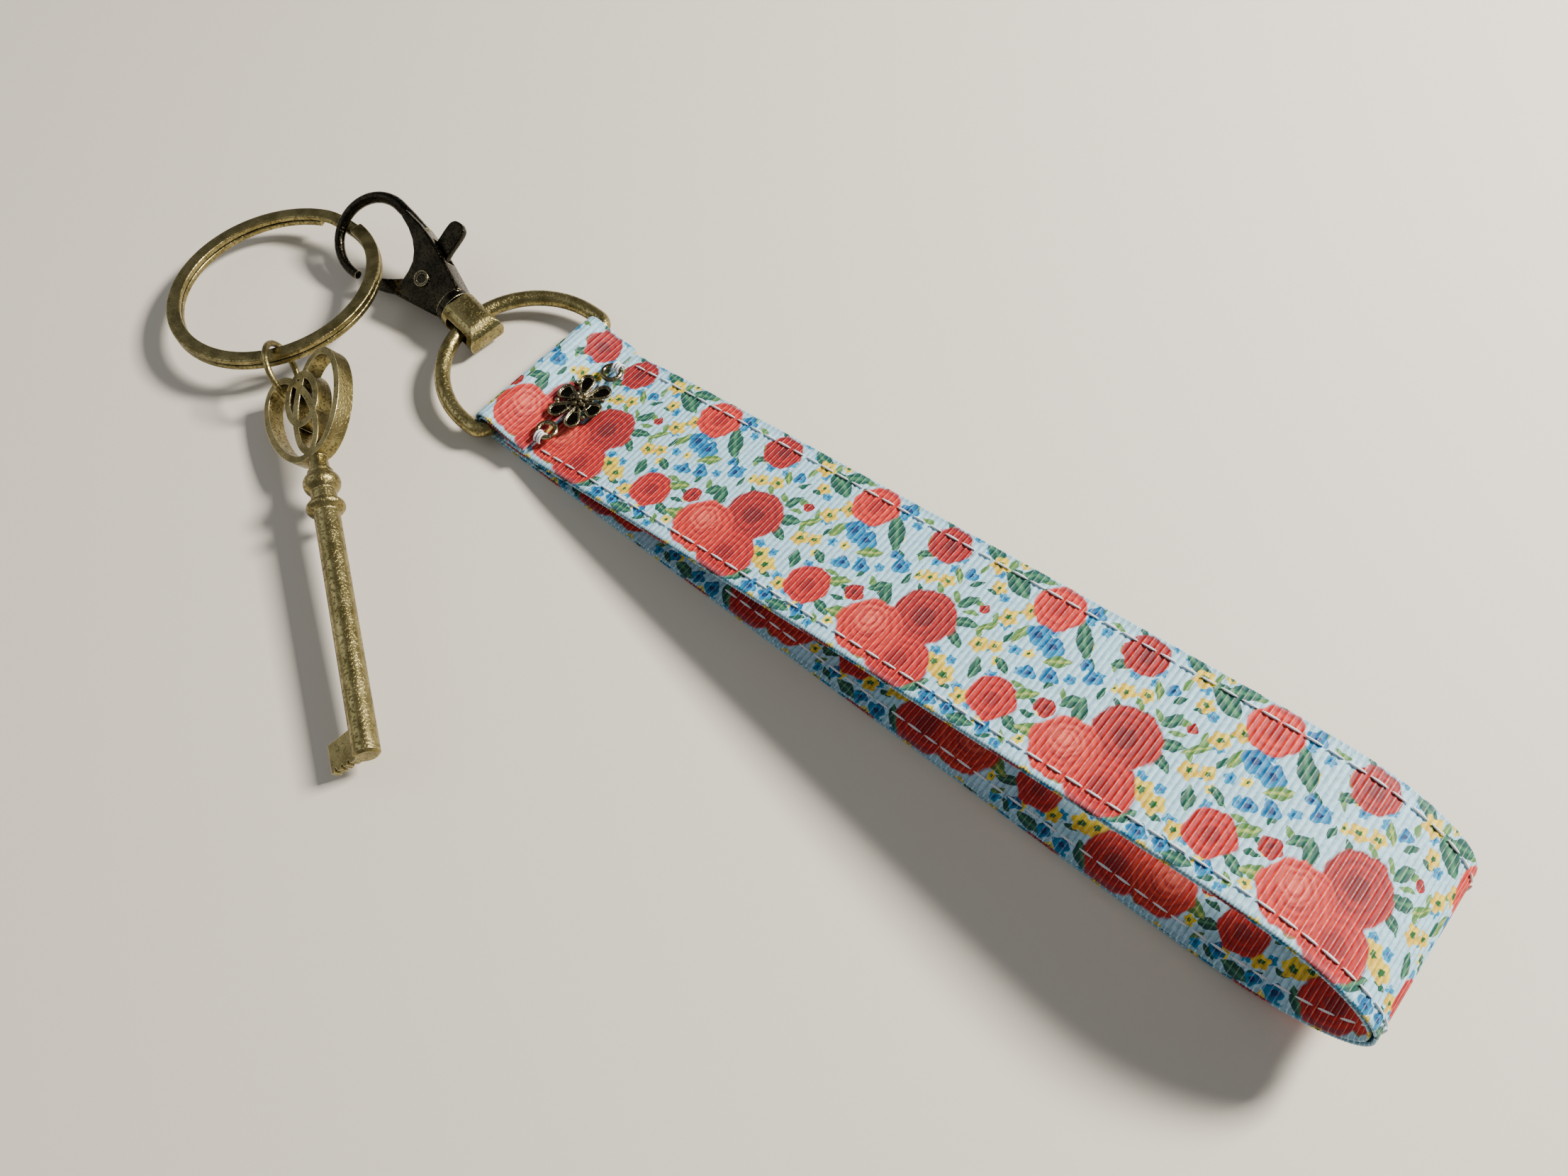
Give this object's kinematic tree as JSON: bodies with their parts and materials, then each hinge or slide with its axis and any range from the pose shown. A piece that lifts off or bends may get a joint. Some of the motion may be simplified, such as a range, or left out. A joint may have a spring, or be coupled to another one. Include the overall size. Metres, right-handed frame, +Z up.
{
  "type": "wristlet keychain",
  "caption": "Wristlet key fob: sewn two-layer ribbon loop with a D-ring, swivel lobster clasp, split ring and a decorative skeleton key.",
  "frame": {"origin": "middle of the strap's flat underside, on the centre line across the ribbon, under the loop's middle", "axes": "+X runs along the strap from the D-ring to the bend of the loop, +Y across the ribbon, +Z up from the flat underside"},
  "size_m": [0.2079, 0.0799, 0.0206],
  "materials": {
    "printed_ribbon": "ribbed grosgrain, light blue with a printed floral",
    "thread": "matte twisted sewing thread",
    "antique_brass": "antique plating, olive gold with dark recesses",
    "dark_bronze": "dark antique plating, bright worn edges",
    "spring_steel": "drawn wire"
  },
  "bodies": {
    "strap": {"outer_ribbon": "printed_ribbon", "inner_ribbon": "printed_ribbon", "needle_thread_left": "thread", "needle_thread_right": "thread", "bobbin_thread_left": "thread", "bobbin_thread_right": "thread", "charm": "dark_bronze", "charm_stitch_left": "thread", "charm_stitch_right": "thread"},
    "d_ring_body": {"d_ring": "antique_brass"},
    "swivel_eye_body": {"swivel_eye": "antique_brass"},
    "clasp": {"clasp_body": "dark_bronze", "lever_rivet": "antique_brass", "swivel_post": "antique_brass", "lever_spring": "spring_steel"},
    "gate": {"gate_lever": "dark_bronze"},
    "split_ring_body": {"split_ring": "antique_brass"},
    "jump_ring_body": {"jump_ring": "dark_bronze"},
    "key_body": {"key": "antique_brass"}
  },
  "joints": [
    {"name": "d_ring_turn", "type": "hinge", "parent": "strap", "child": "d_ring_body", "pos_m": [-0.0675, 0, 0.0027], "axis": [0, 1, 0], "range_deg": [-75, 75]},
    {"name": "eye_slide_round", "type": "hinge", "parent": "d_ring_body", "child": "swivel_eye_body", "pos_m": [-0.0705, 0, 0.00286], "axis": [0.0531, 0, 0.9986], "range_deg": [-40, 40]},
    {"name": "clasp_swivel", "type": "hinge", "parent": "swivel_eye_body", "child": "clasp", "pos_m": [-0.08443, 0, 0.0036], "axis": [-0.9847, 0.0862, 0.1513], "continuous": true},
    {"name": "gate_open", "type": "hinge", "parent": "clasp", "child": "gate", "pos_m": [-0.09458, 0.0008, 0.00511], "axis": [-0.0888, 0.499, -0.862], "range_deg": [0, 12], "stiffness_Nm_per_rad": 0.03, "springref_deg": -8.59},
    {"name": "ring_swing", "type": "hinge", "parent": "clasp", "child": "split_ring_body", "pos_m": [-0.11082, 0.0007, 0.00551], "axis": [-0.9802, 0.1739, -0.0952], "range_deg": [-25, 15]},
    {"name": "jump_ring_round", "type": "hinge", "parent": "split_ring_body", "child": "jump_ring_body", "pos_m": [-0.11365, -0.01545, 0.00515], "axis": [-0.0975, -0.005, 0.9952], "range_deg": [-25, 20]},
    {"name": "key_swing", "type": "hinge", "parent": "jump_ring_body", "child": "key_body", "pos_m": [-0.09863, -0.02605, 0.00515], "axis": [0.5918, 0.7657, 0.2519], "range_deg": [-40, 40]}
  ]
}
